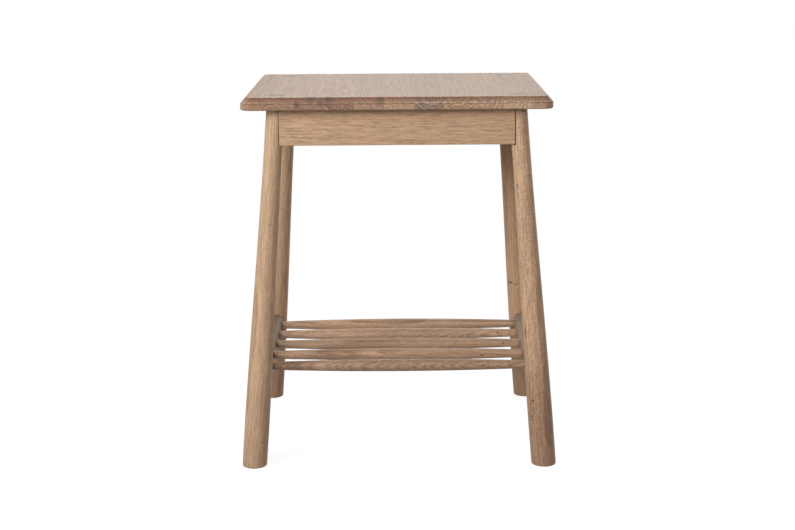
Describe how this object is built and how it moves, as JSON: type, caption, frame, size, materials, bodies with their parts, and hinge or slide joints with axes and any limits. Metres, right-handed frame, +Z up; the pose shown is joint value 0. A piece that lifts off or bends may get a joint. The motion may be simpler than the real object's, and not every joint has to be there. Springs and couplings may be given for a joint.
{
  "type": "side table with drawer",
  "caption": "Splay-legged side table with a handleless drawer, legs tenoned through a bevelled top, and a low shelf of turned spindles between round stretchers.",
  "frame": {"origin": "on the floor, midway between the four feet", "axes": "+Z up, the table's greatest size; the drawer opens along -Y; X runs along the drawer front"},
  "size_m": [0.5246, 0.4246, 0.615],
  "materials": {
    "oak_top": "matt clear lacquer",
    "oak_wedges": "matt clear lacquer",
    "steel_screws": "zinc-plated steel",
    "oak_legs": "matt clear lacquer",
    "oak_shelf": "matt clear lacquer",
    "oak_drawer_front": "matt clear lacquer",
    "plywood_drawer_bottom": "birch plywood, unfinished",
    "oak_drawer_box": "matt clear lacquer",
    "oak_aprons": "matt clear lacquer"
  },
  "bodies": {
    "table_frame": {"back_apron": "oak_aprons", "drawer_runner_left": "oak_drawer_box", "drawer_runner_right": "oak_drawer_box", "front_top_rail": "oak_aprons", "leg_back_left": "oak_legs", "leg_back_right": "oak_legs", "leg_front_left": "oak_legs", "leg_front_right": "oak_legs", "leg_wedges": "oak_wedges", "runner_screws": "steel_screws", "shelf_spindle_1": "oak_shelf", "shelf_spindle_2": "oak_shelf", "shelf_spindle_3": "oak_shelf", "shelf_spindle_4": "oak_shelf", "shelf_spindle_5": "oak_shelf", "side_apron_left": "oak_aprons", "side_apron_right": "oak_aprons", "stretcher_left": "oak_shelf", "stretcher_right": "oak_shelf", "top_button_screws": "steel_screws", "top_buttons": "oak_aprons", "top_stave_01": "oak_top", "top_stave_02": "oak_top", "top_stave_03": "oak_top", "top_stave_04": "oak_top", "top_stave_05": "oak_top", "top_stave_06": "oak_top", "top_stave_07": "oak_top", "top_stave_08": "oak_top", "top_stave_09": "oak_top", "top_stave_10": "oak_top", "top_stave_11": "oak_top"},
    "drawer": {"drawer_back": "oak_drawer_box", "drawer_bottom": "plywood_drawer_bottom", "drawer_bottom_screws": "steel_screws", "drawer_front": "oak_drawer_front", "drawer_side_left": "oak_drawer_box", "drawer_side_right": "oak_drawer_box", "drawer_stop_button": "oak_drawer_box", "drawer_stop_screw": "steel_screws"}
  },
  "joints": [
    {"name": "drawer_slide", "type": "slide", "parent": "table_frame", "child": "drawer", "axis": [0, -1, 0], "range_m": [0, 0.235]}
  ]
}
